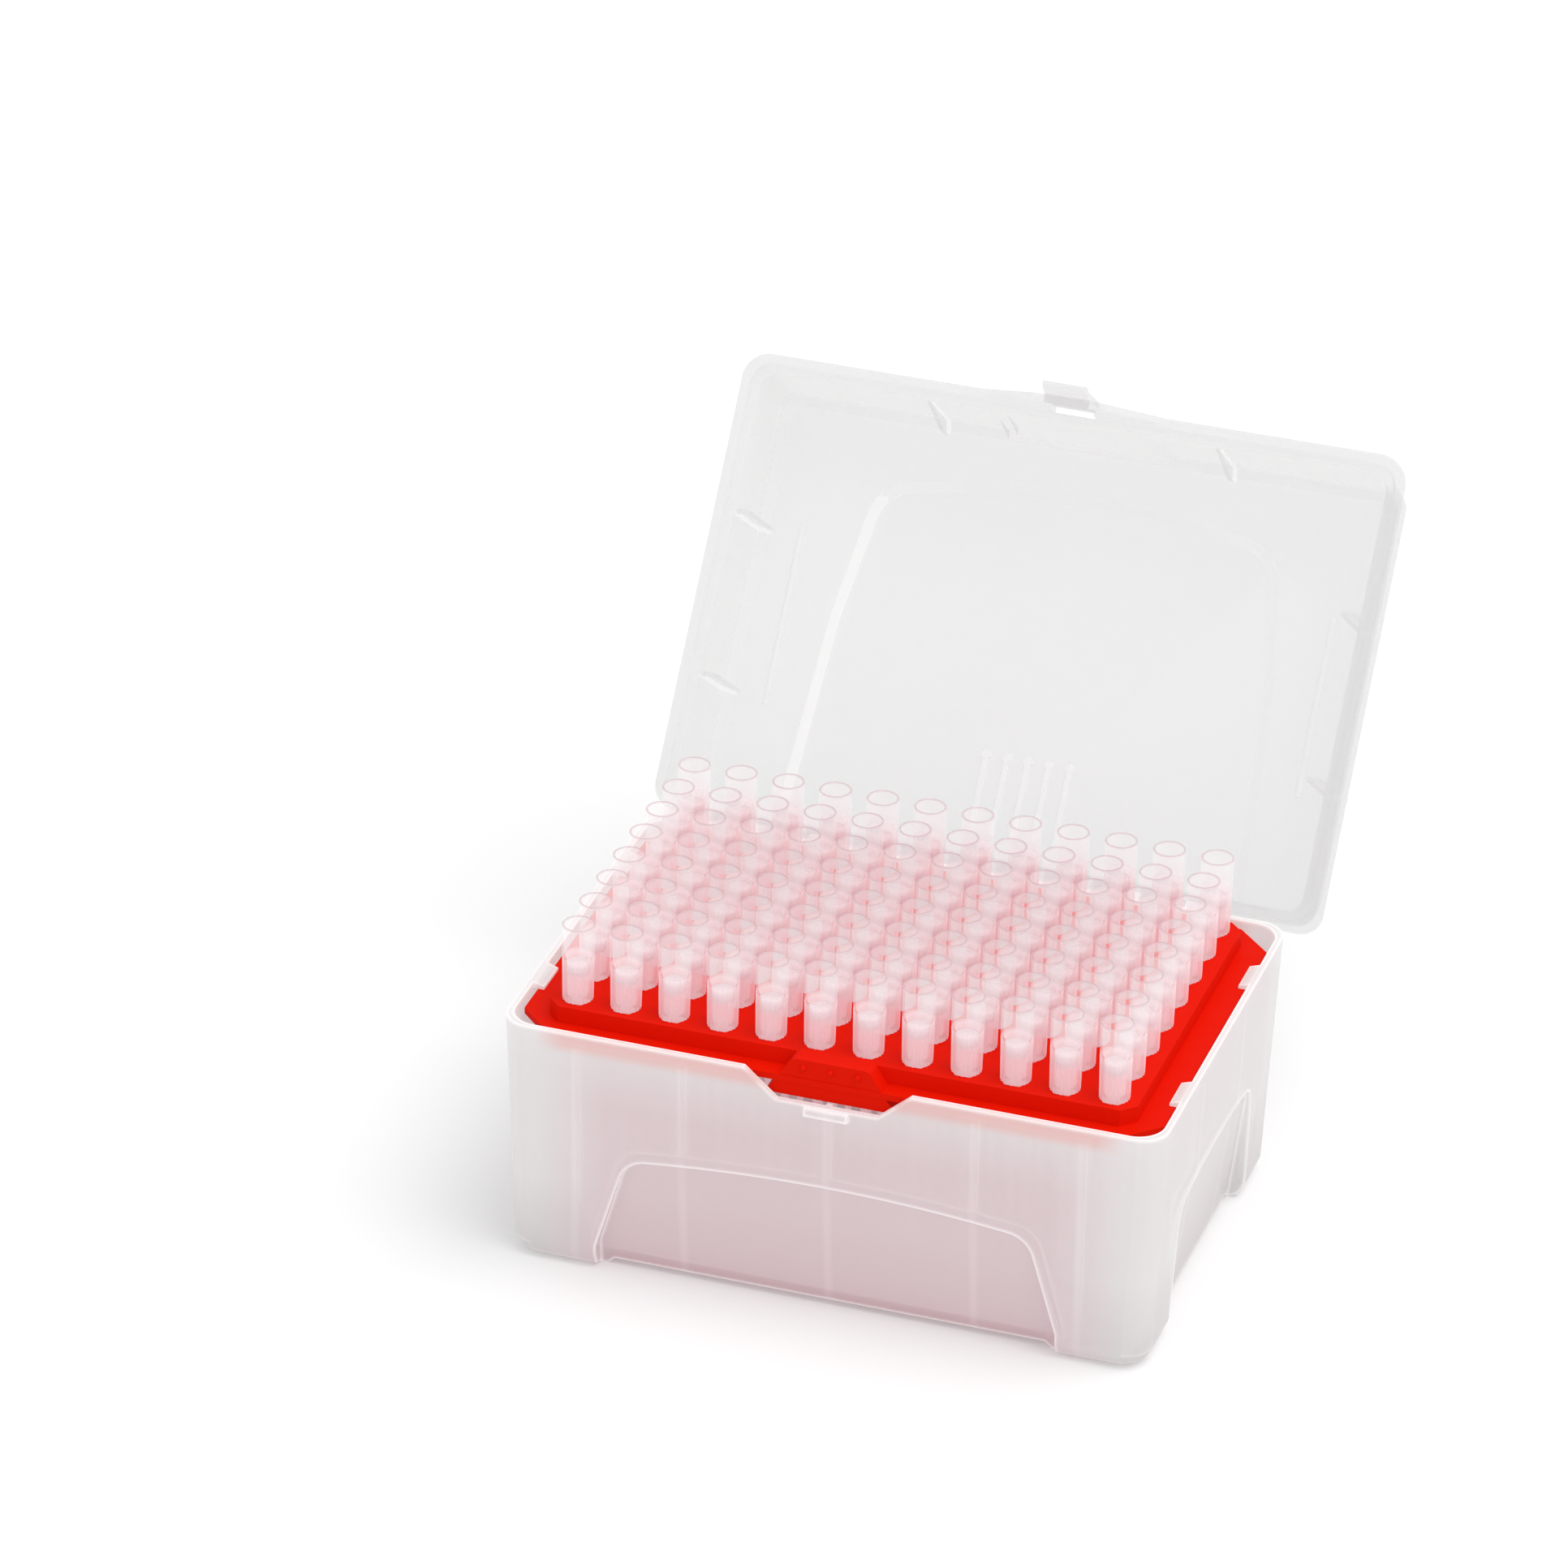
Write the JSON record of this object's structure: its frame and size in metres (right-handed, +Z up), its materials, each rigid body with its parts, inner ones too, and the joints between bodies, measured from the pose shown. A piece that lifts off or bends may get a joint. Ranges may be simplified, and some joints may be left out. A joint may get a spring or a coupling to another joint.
{
  "type": "box of pipette tips",
  "caption": "Hinged translucent box holding a coloured tray of filter pipette tips in a rectangular grid, lid open.",
  "frame": {"origin": "under the middle of the whole box with its lid open, in the plane that the four feet stand on", "axes": "+Z up, +Y from the latch side to the hinge side, X along the long side, in line with the twelve columns; the halves left and right of x = 0 are alike"},
  "size_m": [0.127, 0.1572, 0.1228],
  "materials": {
    "milky_pp": "milky translucent polypropylene",
    "orange_pp": "satin red-orange polypropylene",
    "clear_pp": "clear frosted polypropylene",
    "tip_pp": "clear polypropylene",
    "filter_pe": "white porous polyethylene"
  },
  "bodies": {
    "box": {"base": "milky_pp", "tray": "orange_pp", "tips_column_01": "tip_pp", "filters_column_01": "filter_pe", "tips_column_02": "tip_pp", "filters_column_02": "filter_pe", "tips_column_03": "tip_pp", "filters_column_03": "filter_pe", "tips_column_04": "tip_pp", "filters_column_04": "filter_pe", "tips_column_05": "tip_pp", "filters_column_05": "filter_pe", "tips_column_06": "tip_pp", "filters_column_06": "filter_pe", "tips_column_07": "tip_pp", "filters_column_07": "filter_pe", "tips_column_08": "tip_pp", "filters_column_08": "filter_pe", "tips_column_09": "tip_pp", "filters_column_09": "filter_pe", "tips_column_10": "tip_pp", "filters_column_10": "filter_pe", "tips_column_11": "tip_pp", "filters_column_11": "filter_pe", "tips_column_12": "tip_pp", "filters_column_12": "filter_pe"},
    "lid": {"lid": "clear_pp"}
  },
  "joints": [
    {"name": "lid_hinge", "type": "hinge", "parent": "box", "child": "lid", "pos_m": [0, 0.00895, 0.0448], "axis": [1, 0, 0], "range_deg": [0, 126.7]}
  ]
}
